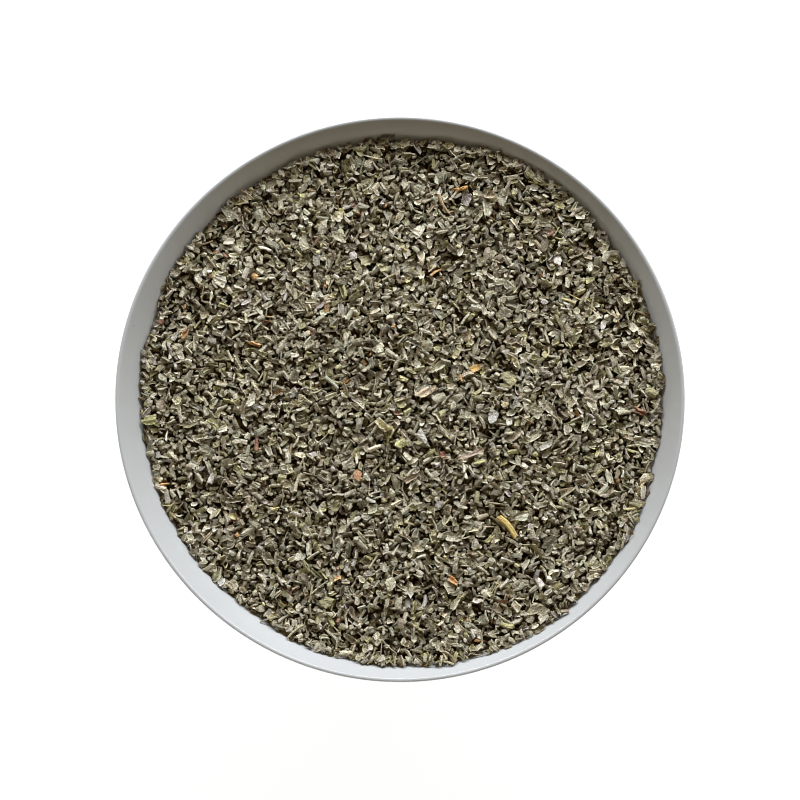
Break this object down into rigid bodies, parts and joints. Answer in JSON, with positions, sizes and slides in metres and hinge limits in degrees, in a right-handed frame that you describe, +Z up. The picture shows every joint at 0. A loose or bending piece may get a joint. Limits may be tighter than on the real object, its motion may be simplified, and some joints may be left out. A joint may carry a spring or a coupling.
{
  "type": "bowl of dried cut sage",
  "caption": "Round white porcelain bowl on a foot ring, filled to just under its rounded rim with loose, dried, finely cut sage leaf",
  "frame": {"origin": "on the ground, under the middle of the bowl", "axes": "+Z is up, along the bowl's axis; -Y faces the picture's camera and +X is to its right"},
  "size_m": [0.12, 0.12, 0.054],
  "materials": {
    "porcelain": "gloss",
    "dried_sage": "matte"
  },
  "bodies": {
    "root": {"bowl": "porcelain", "cut_sage": "dried_sage"}
  },
  "joints": []
}
